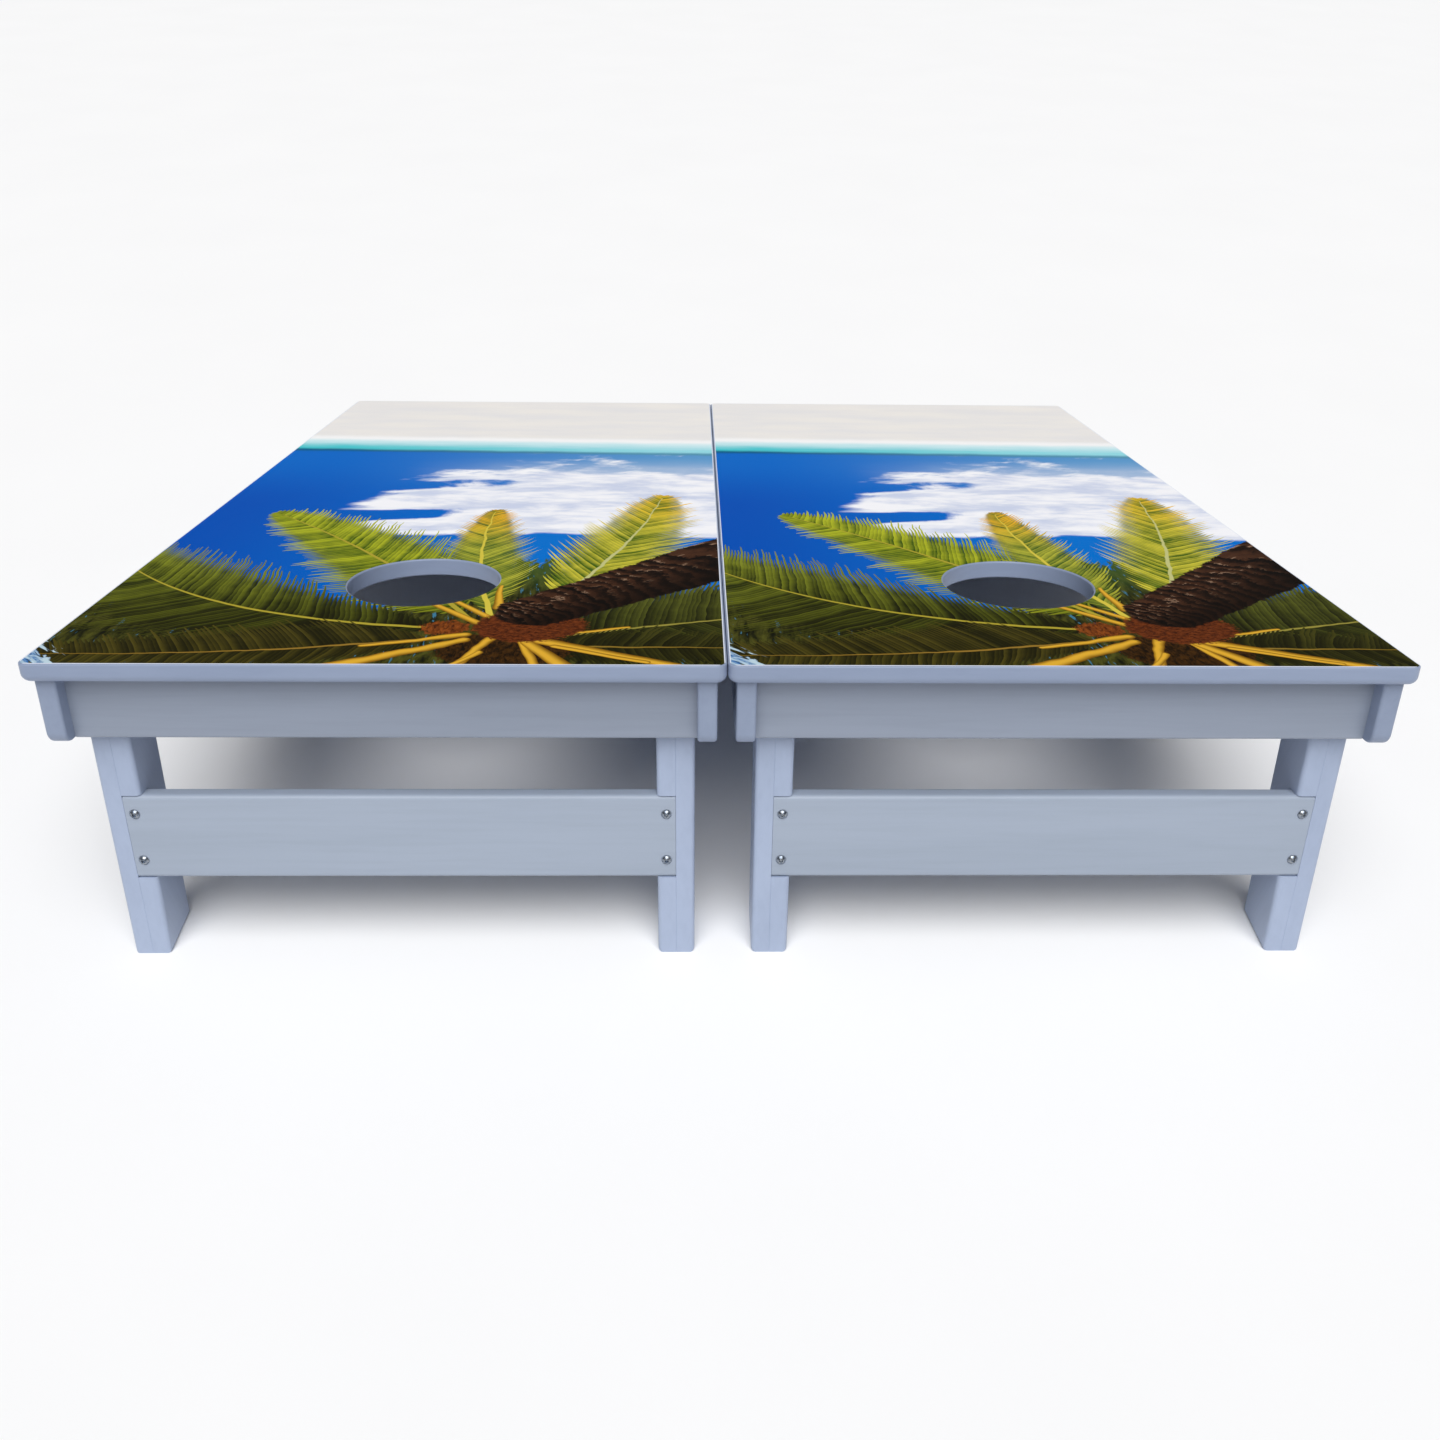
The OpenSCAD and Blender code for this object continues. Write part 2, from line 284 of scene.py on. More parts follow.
def rod(radius, start, end, segments=48):
    """A plain cylinder between two points, for cutting."""
    mesh = tapered(radius, radius, (end - start).length, segments)
    bmesh.ops.transform(mesh, matrix=along(end - start, (start + end) / 2), verts=mesh.verts)
    return mesh


SMOOTH_BELOW = math.radians(32)


def smoothed(thing):
    thing.data.shade_smooth()
    thing.data.set_sharp_from_angle(angle=SMOOTH_BELOW)
    return thing


def piece(number, part, finish_name, mesh, body, material):
    """Places a finished mesh on the board, in row coordinates, as the piece that stands for its CAD node."""
    bmesh.ops.transform(mesh, matrix=PLACE[number], verts=mesh.verts)
    thing = smoothed(new_object(f"{node_name(number, part)}_{finish_name}", mesh))
    normals = thing.modifiers.new("even_normals", "WEIGHTED_NORMAL")
    normals.keep_sharp = True
    thing.data.materials.append(material)
    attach(thing, f"board{number}{body}")
    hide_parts(node_name(number, part))
    return thing


# ---- Shader helpers ----

class Field:
    """A number that changes over the surface: a socket, with arithmetic that adds Math nodes to its tree."""

    def __init__(self, tree, socket):
        self.tree = tree
        self.socket = socket

    def math(self, operation, *others, clamp=False):
        node = self.tree.nodes.new("ShaderNodeMath")
        node.operation = operation
        node.use_clamp = clamp
        for socket, value in zip(node.inputs, (self, *others)):
            connect(self.tree, value, socket)
        return Field(self.tree, node.outputs[0])

    def __add__(self, other):
        return self.math("ADD", other)

    def __sub__(self, other):
        return self.math("SUBTRACT", other)

    def __mul__(self, other):
        return self.math("MULTIPLY", other)

    def __truediv__(self, other):
        return self.math("DIVIDE", other)

    def __pow__(self, other):
        return self.math("POWER", other)

    def __gt__(self, other):
        return self.math("GREATER_THAN", other)

    def __lt__(self, other):
        return self.math("LESS_THAN", other)

    def __neg__(self):
        return self * -1.0

    def __abs__(self):
        return self.math("ABSOLUTE")

    def flipped(self):
        """One minus this."""
        return (-self) + 1.0

    def clamped(self):
        return self.math("ADD", 0.0, clamp=True)

    def ramp(self, low, high, start=0.0, end=1.0):
        """Rises smoothly from start at low to end at high."""
        node = self.tree.nodes.new("ShaderNodeMapRange")
        node.interpolation_type = "SMOOTHSTEP"
        for socket, value in zip(node.inputs, (self, low, high, start, end)):
            connect(self.tree, value, socket)
        return Field(self.tree, node.outputs[0])


def connect(tree, value, socket):
    """Sets a socket from a number, a colour, a Field or another socket."""
    if isinstance(value, Field):
        tree.links.new(value.socket, socket)
    elif isinstance(value, bpy.types.NodeSocket):
        tree.links.new(value, socket)
    else:
        socket.default_value = value


def blend(tree, factor, first, second):
    """The socket of a colour that goes from first to second."""
    node = tree.nodes.new("ShaderNodeMix")
    node.data_type = "RGBA"
    connect(tree, factor, node.inputs["Factor"])
    connect(tree, first, node.inputs[6])
    connect(tree, second, node.inputs[7])
    return node.outputs[2]


def point_of(tree, x, y, z=0.0):
    node = tree.nodes.new("ShaderNodeCombineXYZ")
    for socket, value in zip(node.inputs, (x, y, z)):
        connect(tree, value, socket)
    return node.outputs[0]


def noise(tree, point, scale, detail=2.0, roughness=0.5, distortion=0.0):
    node = tree.nodes.new("ShaderNodeTexNoise")
    connect(tree, point, node.inputs["Vector"])
    node.inputs["Scale"].default_value = scale
    node.inputs["Detail"].default_value = detail
    node.inputs["Roughness"].default_value = roughness
    node.inputs["Distortion"].default_value = distortion
    return Field(tree, node.outputs["Fac"])


def dice(tree, index):
    """A different random number from 0 to 1 for each whole number."""
    node = tree.nodes.new("ShaderNodeTexWhiteNoise")
    node.noise_dimensions = "1D"
    connect(tree, index, node.inputs["W"])
    return Field(tree, node.outputs["Value"])


def shader_group(name, inputs, outputs):
    """A new node group: its tree, its input Fields by name, and the sockets to feed its outputs."""
    tree = bpy.data.node_groups.new(name, "ShaderNodeTree")
    for label, default in inputs.items():
        kind = "NodeSocketFloat" if isinstance(default, (int, float)) else (
            "NodeSocketColor" if len(default) == 4 else "NodeSocketVector")
        tree.interface.new_socket(label, in_out="INPUT", socket_type=kind).default_value = default
    for label, kind in outputs.items():
        tree.interface.new_socket(label, in_out="OUTPUT", socket_type=f"NodeSocket{kind}")
    enter = tree.nodes.new("NodeGroupInput")
    leave = tree.nodes.new("NodeGroupOutput")
    given = {label: Field(tree, enter.outputs[label]) for label in inputs}
    return tree, given, leave.inputs


def place_group(tree, group, **values):
    """Adds a group node; a value's name is its socket's, in lower case with _ for each space."""
    node = tree.nodes.new("ShaderNodeGroup")
    node.node_tree = group
    for socket in node.inputs:
        key = socket.name.lower().replace(" ", "_")
        if key in values:
            connect(tree, values[key], socket)
    return node.outputs


def srgb(red, green, blue):
    """A colour given in screen values from 0 to 255."""
    def linear(value):
        value /= 255
        return value / 12.92 if value <= 0.04045 else ((value + 0.055) / 1.055) ** 2.4
    return (linear(red), linear(green), linear(blue), 1.0)


def new_material(name):
    material = bpy.data.materials.new(name)
    material.use_nodes = True
    tree = material.node_tree
    return material, tree, tree.nodes["Principled BSDF"]


def bump(tree, surface, height, strength, distance):
    node = tree.nodes.new("ShaderNodeBump")
    node.inputs["Strength"].default_value = strength
    node.inputs["Distance"].default_value = distance
    connect(tree, height, node.inputs["Height"])
    tree.links.new(node.outputs["Normal"], surface.inputs["Normal"])


def straightened(tree, stretch):
    """Object coordinates turned to the board's axes and divided by stretch along each."""
    coordinates = tree.nodes.new("ShaderNodeTexCoord")
    mapping = tree.nodes.new("ShaderNodeMapping")
    mapping.vector_type = "TEXTURE"
    mapping.inputs["Rotation"].default_value = (-TILT, 0, 0)
    mapping.inputs["Scale"].default_value = stretch
    tree.links.new(coordinates.outputs["Object"], mapping.inputs["Vector"])
    return mapping.outputs[0]


# ---- Painted wood ----

def brushed_paint_group():
    """Satin paint over fine-grained wood: grain lines show through it, with soft patches."""
    tree, given, out = shader_group(
        "Brushed paint",
        {"Point": (0.0, 0.0, 0.0), "Colour": (0.5, 0.5, 0.5, 1), "Shadow colour": (0.4, 0.4, 0.4, 1),
         "Grain": 1.0, "Sheen": 0.4},
        {"Colour": "Color", "Roughness": "Float", "Height": "Float"})
    lines = noise(tree, given["Point"], 9.0, 6.0, 0.62, 0.25)
    patches = noise(tree, given["Point"], 1.3, 3.0, 0.55)
    depth = (lines.ramp(0.38, 0.72) * given["Grain"] * 0.35 + patches.ramp(0.35, 0.7) * 0.5).clamped()
    connect(tree, blend(tree, depth, given["Colour"], given["Shadow colour"]), out["Colour"])
    connect(tree, given["Sheen"] + (patches - 0.5) * 0.14 + (lines - 0.5) * 0.1, out["Roughness"])
    connect(tree, lines * given["Grain"], out["Height"])
    return tree


def painted_wood(name, group, stretch, colour, shadow, grain=1.0, sheen=0.42):
    """Pale blue-grey satin paint with its grain along the longest of the three stretches."""
    material, tree, surface = new_material(name)
    made = place_group(tree, group, point=straightened(tree, stretch), colour=colour, shadow_colour=shadow,
                       grain=grain, sheen=sheen)
    tree.links.new(made["Colour"], surface.inputs["Base Color"])
    tree.links.new(made["Roughness"], surface.inputs["Roughness"])
    bump(tree, surface, made["Height"], 0.28, 0.0006)
    surface.inputs["Specular IOR Level"].default_value = 0.45
    return material


# ---- Plated steel and nylon ----

def plated_steel():
    """Zinc plate with a cloudy blue tint."""
    material, tree, surface = new_material("zinc_plate")
    coordinates = tree.nodes.new("ShaderNodeTexCoord")
    clouds = noise(tree, coordinates.outputs["Object"], 420.0, 3.0, 0.6)
    fine = noise(tree, coordinates.outputs["Object"], 2600.0, 2.0, 0.5)
    colour = blend(tree, clouds.ramp(0.35, 0.65), srgb(116, 128, 146), srgb(164, 168, 172))
    tree.links.new(colour, surface.inputs["Base Color"])
    connect(tree, clouds * 0.16 + fine * 0.12 + 0.18, surface.inputs["Roughness"])
    bump(tree, surface, fine, 0.15, 0.0002)
    surface.inputs["Metallic"].default_value = 1.0
    return material


def nylon():
    """The lock nuts' collar insert."""
    material, tree, surface = new_material("nylon_insert")
    coordinates = tree.nodes.new("ShaderNodeTexCoord")
    speckle = noise(tree, coordinates.outputs["Object"], 900.0, 2.0, 0.5)
    colour = blend(tree, speckle, srgb(206, 212, 214), srgb(228, 231, 230))
    tree.links.new(colour, surface.inputs["Base Color"])
    connect(tree, speckle * 0.2 + 0.35, surface.inputs["Roughness"])
    surface.inputs["Subsurface Weight"].default_value = 0.1
    surface.inputs["Subsurface Radius"].default_value = (0.002, 0.002, 0.002)
    return material


# ---- The printed scene: every size in it is in millimetres from the deck's left and rear edges ----

def frond_group():
    """One palm frond: a bowed midrib with slanted leaflets on both sides that narrow to points."""
    tree, given, out = shader_group(
        "Palm frond",
        {"X": 0.0, "Y": 0.0, "Base X": 0.0, "Base Y": 0.0, "Angle": 0.0, "Length": 300.0, "Sag": 0.0,
         "Left reach": 60.0, "Right reach": 60.0, "Left slant": 0.8, "Right slant": 0.8, "Curl": 0.2,
         "Pitch": 8.0, "Gaps": 1.3, "Bare": 0.12, "Swell": 5.0, "Rib": 3.0, "Seed": 0.0},
        dict.fromkeys(("Leaf", "Backing", "Rib", "Tone", "Reach", "Along"), "Float"))
    x, y = given["X"] - given["Base X"], given["Y"] - given["Base Y"]
    cosine, sine = given["Angle"].math("COSINE"), given["Angle"].math("SINE")
    forward = x * cosine + y * sine
    share = forward / given["Length"]
    across = y * cosine - x * sine - given["Sag"] * share * share.flipped() * 4.0
    left = across > 0.0
    out_by = abs(across)
    reach = given["Right reach"] + (given["Left reach"] - given["Right reach"]) * left
    slant = given["Right slant"] + (given["Left slant"] - given["Right slant"]) * left
    root = forward - out_by * (slant + given["Curl"] * out_by / reach)
    root_share = root / given["Length"]
    leaflet = root / given["Pitch"]
    chance = dice(tree, leaflet.math("FLOOR") + left * 57.0 + given["Seed"])
    swell = ((root_share - given["Bare"]) * given["Swell"]).clamped() ** 0.55
    taper = root_share.flipped().clamped() ** 0.5
    longest = (reach * swell * taper * (chance * 0.32 + 0.76)).math("MAXIMUM", 0.5)
    part = out_by / longest
    between = leaflet.math("FRACT")
    off_middle = abs(between - 0.5) * 2.0
    width = (part ** 2.4) * (-given["Gaps"]) + 1.2
    inside = (root_share > given["Bare"]) * (root_share < 1.0) * (part < 1.0)
    connect(tree, (width - off_middle).ramp(0.0, 0.16) * inside, out["Leaf"])
    connect(tree, (part + chance * 0.25).ramp(0.7, 0.95, 1.0, 0.0) * inside, out["Backing"])
    rib_width = given["Rib"] * (share * -0.75 + 1.0)
    on_rib = (rib_width - out_by).ramp(0.0, 1.0) * (share > 0.0) * (share < 0.97)
    connect(tree, on_rib, out["Rib"])
    connect(tree, chance * 0.55 + between * 0.35 + part.clamped() * 0.1, out["Tone"])
    connect(tree, part, out["Reach"])
    connect(tree, share, out["Along"])
    return tree


def stem_group():
    """A straight tapered stem between two points, rounded by its shade."""
    tree, given, out = shader_group(
        "Palm stem",
        {"X": 0.0, "Y": 0.0, "Start X": 0.0, "Start Y": 0.0, "End X": 100.0, "End Y": 0.0,
         "Start width": 16.0, "End width": 8.0},
        {"Stem": "Float", "Across": "Float"})
    run_x, run_y = given["End X"] - given["Start X"], given["End Y"] - given["Start Y"]
    x, y = given["X"] - given["Start X"], given["Y"] - given["Start Y"]
    square = run_x * run_x + run_y * run_y
    share = ((x * run_x + y * run_y) / square).clamped()
    side_x, side_y = x - run_x * share, y - run_y * share
    away = (side_x * side_x + side_y * side_y).math("SQRT")
    sign = (x * run_y - y * run_x).math("SIGN")
    half = (given["Start width"] + (given["End width"] - given["Start width"]) * share) * 0.5
    connect(tree, (half - away).ramp(0.0, 1.2), out["Stem"])
    connect(tree, (away / half) * sign, out["Across"])
    return tree


class Frond:
    """One frond of the print, from its base to its tip. Left and right are as seen from its base."""

    def __init__(self, base, tip, sag, reach, slant, light, dark, pitch=7.5, gaps=1.1, bare=0.12, rib=3.0,
                 swell=5.0, curl=0.2, rib_colour=(176, 160, 52), gloom=1.0, backing=0.9, tip_colour=None):
        run = Vector(tip) - Vector(base)
        self.values = {
            "base_x": base[0], "base_y": base[1], "angle": math.atan2(run.y, run.x), "length": run.length,
            "sag": sag, "left_reach": reach[0], "right_reach": reach[1], "left_slant": slant[0],
            "right_slant": slant[1], "pitch": pitch, "gaps": gaps, "bare": bare, "rib": rib, "swell": swell,
            "curl": curl,
        }
        self.light = light
        self.dark = dark
        self.rib_colour = rib_colour
        self.gloom = gloom
        self.backing = backing
        self.tip_colour = tip_colour or light


# Back to front: base, tip, sag, reach, slant, light and dark colours, pitch, gaps, bare share and rib width
FRONDS = [
    # far right, in shade
    Frond((430, 60), (780, 160), 6, (170, 84), (0.3, 0.5), (112, 118, 42), (40, 46, 16), 5.0, 0.8, 0.04, 3.0,
          rib_colour=(150, 140, 60)),
    Frond((430, 44), (700, 36), 4, (64, 64), (0.25, 0.3), (98, 96, 34), (34, 38, 10), 4.5, 0.7, 0.02, 2.4,
          rib_colour=(140, 112, 40)),
    # upper right, behind the trunk
    Frond((440, 160), (542, 580), -14, (98, 112), (1.05, 0.85), (218, 206, 66), (66, 96, 20), 7.0, 1.35,
          0.02, 3.2, rib_colour=(196, 196, 130), gloom=0.0, backing=0.6, tip_colour=(238, 192, 48)),
    # left of the bag hole
    Frond((372, 112), (78, 490), -16, (112, 122), (0.12, 0.9), (178, 184, 40), (46, 78, 14), 6.0, 0.95,
          0.06, 3.6, gloom=0.6),
    # tall one with a yellow tip
    Frond((390, 118), (340, 508), 14, (64, 80), (1.0, 1.0), (190, 188, 62), (58, 92, 30), 6.0, 1.2, 0.06, 3.8,
          rib_colour=(214, 196, 70), gloom=0.4, tip_colour=(236, 176, 36)),
    # long one to the left
    Frond((352, 92), (-60, 346), 62, (176, 158), (0.36, 0.62), (134, 142, 38), (34, 44, 6), 5.2, 0.85,
          0.02, 3.4, swell=2.0, gloom=1.25),
    # low one to the left
    Frond((352, 70), (-20, 28), 18, (60, 90), (0.3, 0.35), (118, 106, 36), (42, 40, 8), 4.6, 0.8, 0.04, 2.8,
          rib_colour=(150, 116, 44), gloom=0.9),
]

WHITE_EDGE = 0.9

# (start, end, start width, end width), the start being at the crown
STEMS = [
    ((378, 106), (326, 160), 11, 9),
    ((384, 124), (343, 172), 10, 8),
    ((392, 148), (386, 215), 13, 5),
    ((372, 73), (284, 46), 14, 7),
    ((374, 60), (262, -8), 13, 19),
    ((400, 72), (372, -10), 12, 13),
    ((392, 30), (364, -10), 8, 9),
    ((424, 60), (446, -10), 9, 12),
    ((430, 56), (474, -10), 14, 19),
    ((444, 58), (590, -12), 17, 13),
    ((456, 46), (540, 8), 9, 8),
    ((456, 76), (520, 95), 8, 6),
]


def sky_and_shore(tree, x, y):
    """Deep sky, a bank of cloud, a strip of turquoise water with foam, and pale sand."""
    drift = point_of(tree, x * 0.001, y * 0.001)
    deep = blend(tree, x.ramp(0.0, 420.0), srgb(0, 80, 182), srgb(0, 112, 206))
    hazy = blend(tree, x.ramp(60.0, 620.0), srgb(2, 104, 200), srgb(92, 154, 206))
    sky = blend(tree, y.ramp(520.0, 790.0), deep, hazy)
    wisp = noise(tree, point_of(tree, x * 0.001, y * 0.0024, 3.0), 9.0, 5.0, 0.6, 0.2)
    leaning = point_of(tree, x * 0.001 + y * 0.0004, y * 0.0015 - x * 0.0006, 1.4)
    billow = noise(tree, leaning, 6.5, 6.0, 0.6, 0.5)

    def clear_lane(middle, reach):
        """A gap in the cloud that runs in from the left."""
        away = abs(y - (x - 250.0) * 0.12 - middle)
        return away.ramp(10.0, 34.0, -0.3, 0.0) * x.ramp(reach, reach + 110.0).flipped()

    bank = x.ramp(10.0, 305.0, -0.42, 0.24) + clear_lane(632.0, 300.0) + clear_lane(486.0, 240.0)
    lid = y.ramp(640.0, 735.0, 0.0, -0.34) + y.ramp(365.0, 425.0, -0.5, 0.0)
    thickness = billow * 0.8 + wisp * 0.4 + bank + lid
    haze = x.ramp(170.0, 450.0) * y.ramp(640.0, 700.0) * y.ramp(690.0, 800.0).flipped()
    sky = blend(tree, haze * (wisp * 0.9 + 0.25), sky, srgb(196, 210, 230))
    shaded = blend(tree, wisp.ramp(0.35, 0.62), srgb(206, 214, 236), srgb(250, 250, 254))
    sky = blend(tree, thickness.ramp(0.52, 0.68), sky, shaded)
    ripple = noise(tree, point_of(tree, x * 0.004, y * 0.05, 1.0), 3.0, 3.0, 0.5)
    horizon = y + (x - 305.0) * 0.03
    shore = horizon + (wisp - 0.5) * 14.0
    water = blend(tree, x.ramp(0.0, 610.0), srgb(66, 200, 208), srgb(150, 220, 230))
    water = blend(tree, (ripple - 0.5) * 0.5 + shore.ramp(842.0, 892.0), water, srgb(210, 238, 244))
    edge = blend(tree, x.ramp(0.0, 560.0), srgb(8, 92, 132), srgb(84, 148, 176))
    water = blend(tree, horizon.ramp(824.0, 842.0), edge, water)
    picture = blend(tree, horizon.ramp(812.0, 826.0), sky, water)
    grains = noise(tree, drift, 260.0, 3.0, 0.7)
    dunes = noise(tree, point_of(tree, x * 0.001, y * 0.003, 7.0), 6.0, 4.0, 0.5)
    sand = blend(tree, dunes.ramp(0.25, 0.75), srgb(233, 231, 231), srgb(242, 238, 233))
    sand = blend(tree, grains.ramp(0.55, 0.8) * 0.3, sand, srgb(212, 206, 200))
    foam = blend(tree, shore.ramp(908.0, 935.0), srgb(250, 250, 250), sand)
    return blend(tree, shore.ramp(884.0, 908.0), picture, foam)


def with_thicket(tree, x, y, picture):
    """Shaded leaves behind everything near the rear edge, with streaks of sky at the left corner."""
    streaks = noise(tree, point_of(tree, x * 0.05, y * 0.012, 5.0), 2.6, 4.0, 0.6, 0.3)
    left_line = x.ramp(0.0, 250.0, 185.0, 130.0) + x.ramp(250.0, 400.0, 0.0, 172.0)
    right_line = x.ramp(432.0, 470.0, 0.0, -190.0) + x.ramp(470.0, 610.0, 0.0, 110.0)
    under = (left_line + right_line - y + (streaks - 0.5) * 130.0).ramp(0.0, 14.0)
    leaves = blend(tree, streaks.ramp(0.32, 0.7), srgb(16, 18, 6), srgb(80, 80, 28))
    leaves = blend(tree, y.ramp(170.0, 290.0, 0.0, 0.75), leaves, srgb(66, 92, 40))
    glints = noise(tree, point_of(tree, x * 0.09 + y * 0.01, y * 0.014, 11.0), 2.4, 3.0, 0.6)
    leaves = blend(tree, glints.ramp(0.63, 0.71), leaves, srgb(64, 122, 150))
    return blend(tree, under, picture, leaves)


def with_corner_sky(tree, x, y, picture):
    """Bright streaks of sky between the leaflets at the left end of the rear edge."""
    slanted = point_of(tree, (x - y) * 0.012, (x + y) * 0.05, 8.0)
    streaks = noise(tree, slanted, 2.2, 3.0, 0.55, 0.4)
    near_corner = (x * 1.3 + y * 0.8).ramp(0.0, 110.0, 0.22, -0.3)
    shine = blend(tree, streaks.ramp(0.42, 0.62), srgb(24, 104, 176), srgb(190, 214, 226))
    return blend(tree, (streaks + near_corner).ramp(0.56, 0.64), picture, shine)


SEED_STEP = 113.0
BACKING_SHADE = 0.62


def with_fronds(tree, x, y, picture, group):
    """The fronds, back to front, gloomier towards the rear edge."""
    gloom = y.ramp(30.0, 350.0, 0.86, 0.0)
    clumps = noise(tree, point_of(tree, x * 0.03, y * 0.03, 2.0), 1.0, 3.0, 0.6)
    for order, frond in enumerate(FRONDS):
        made = place_group(tree, group, x=x, y=y, seed=order * SEED_STEP, **frond.values)
        tone, reach, share = (Field(tree, made[label]) for label in ("Tone", "Reach", "Along"))
        backing = Field(tree, made["Backing"]) * frond.backing
        shadow = tuple(value * BACKING_SHADE for value in frond.dark)
        picture = blend(tree, backing, picture, blend(tree, gloom, srgb(*shadow), srgb(20, 20, 6)))
        lift = share.clamped() * 0.35 + reach.clamped() * 0.2 + (clumps - 0.5) * 1.1
        shade = (tone * 1.25 + lift - 0.36).clamped()
        at_tip = share.ramp(0.55, 1.0) * (tone + 0.3)
        bright = blend(tree, at_tip, srgb(*frond.light), srgb(*frond.tip_colour))
        leaf = blend(tree, shade, srgb(*frond.dark), bright)
        leaf = blend(tree, (gloom * frond.gloom * (tone * -0.5 + 1.2)).clamped(), leaf, srgb(26, 25, 5))
        picture = blend(tree, made["Leaf"], picture, leaf)
        picture = blend(tree, made["Rib"], picture, srgb(*frond.rib_colour))
    return picture


def with_stems(tree, x, y, picture, group, stems):
    """The yellow leaf stems that spread from the crown."""
    for start, end, start_width, end_width in stems:
        made = place_group(tree, group, x=x, y=y, start_x=start[0], start_y=start[1], end_x=end[0],
                           end_y=end[1], start_width=start_width, end_width=end_width)
        across = Field(tree, made["Across"])
        colour = blend(tree, across.ramp(-1.0, 0.1), srgb(116, 78, 10), srgb(226, 174, 52))
        colour = blend(tree, across.ramp(0.35, 1.0), colour, srgb(138, 92, 16))
        picture = blend(tree, made["Stem"], picture, colour)
    return picture


TRUNK_BASE = (428, 138)
TRUNK_ANGLE = math.radians(43)
TRUNK_LENGTH = 290
TRUNK_HALF_WIDTHS = (40, 62)
RING_PITCH = 11.0


def with_trunk(tree, x, y, picture):
    """The leaning trunk: dark, ringed and scaly, ragged at its edges, with worn highlights."""
    over, up = x - TRUNK_BASE[0], y - TRUNK_BASE[1]
    forward = over * math.cos(TRUNK_ANGLE) + up * math.sin(TRUNK_ANGLE)
    across = up * math.cos(TRUNK_ANGLE) - over * math.sin(TRUNK_ANGLE)
    bark = noise(tree, point_of(tree, forward * 0.03, across * 0.035), 4.0, 6.0, 0.7, 0.8)
    share = (forward / TRUNK_LENGTH).clamped()
    half = share * (TRUNK_HALF_WIDTHS[1] - TRUNK_HALF_WIDTHS[0]) + TRUNK_HALF_WIDTHS[0] + (bark - 0.5) * 14.0
    part = across / half
    end = forward - part * part * 26.0 + (bark - 0.5) * 12.0
    on_trunk = (half - abs(across)).ramp(0.0, 2.0) * end.ramp(-40.0, -36.0)
    wander = noise(tree, point_of(tree, forward * 0.012, across * 0.012, 6.0), 1.6, 2.0, 0.5)
    bow = part * part * 9.0 + (bark - 0.5) * 24.0 + (wander - 0.5) * 46.0
    turns = (forward + bow) / (share * 9.0 + RING_PITCH)
    ring = turns.math("FRACT")
    wear = dice(tree, turns.math("FLOOR"))
    scales = noise(tree, point_of(tree, turns.math("FLOOR") * 3.7, across * 0.045), 2.2, 3.0, 0.6)
    ridge = ring.ramp(0.0, 0.2) * ring.ramp(0.3, 0.8).flipped()
    lit = part.ramp(-0.75, 0.7)
    tone = (ridge * 0.5 + bark * 0.35 + scales * 0.5 + wear * 0.2 - 0.45).clamped()
    colour = blend(tree, tone, srgb(11, 6, 4), srgb(90, 56, 37))
    worn = ring.ramp(0.02, 0.12) * ring.ramp(0.14, 0.3).flipped() * scales.ramp(0.48, 0.62) * lit
    colour = blend(tree, worn, colour, srgb(162, 130, 106))
    colour = blend(tree, lit.flipped() * 0.8, colour, srgb(12, 7, 4))
    return blend(tree, on_trunk, picture, colour)


def blob(x, y, middle, radii, ragged, softness=2.0):
    """A mask of 1 inside a ragged ellipse."""
    right, above = (x - middle[0]) / radii[0], (y - middle[1]) / radii[1]
    away = (right * right + above * above).math("SQRT")
    return (away.flipped() * min(radii) + ragged).ramp(-softness, softness)


def with_crown(tree, x, y, picture):
    """The fibrous red-brown crown where the stems meet, and the dark gaps between them."""
    fibre = noise(tree, point_of(tree, x * 0.05, y * 0.02, 4.0), 5.0, 5.0, 0.7, 0.4)
    ragged = (fibre - 0.5) * 26.0
    gaps = blend(tree, fibre.ramp(0.35, 0.7), srgb(20, 12, 4), srgb(74, 46, 14))
    picture = blend(tree, blob(x, y, (412, 38), (62, 42), ragged), picture, gaps)
    knob = blend(tree, fibre.ramp(0.3, 0.7), srgb(54, 22, 6), srgb(150, 78, 28))
    return blend(tree, blob(x, y, (351, 92), (22, 19), ragged), picture, knob)


def with_husk(tree, x, y, picture):
    """The cut husk at the foot of the trunk, in front of the stems."""
    fibre = noise(tree, point_of(tree, x * 0.03, y * 0.06, 9.0), 6.0, 5.0, 0.7, 0.4)
    mask = blob(x, y, (428, 98), (52, 42), (fibre - 0.5) * 22.0, 1.5)
    return blend(tree, mask, picture, blend(tree, fibre.ramp(0.3, 0.72), srgb(34, 12, 5), srgb(128, 62, 26)))


def with_white_edge(tree, x, y, picture, across, length, margin):
    """The thin unprinted border that the film keeps all round."""
    inset = x.math("MINIMUM", (-x) + across).math("MINIMUM", y).math("MINIMUM", (-y) + length)
    border = inset.ramp(margin + WHITE_EDGE * 0.7, margin + WHITE_EDGE * 1.3).flipped()
    return blend(tree, border, picture, srgb(232, 237, 248))


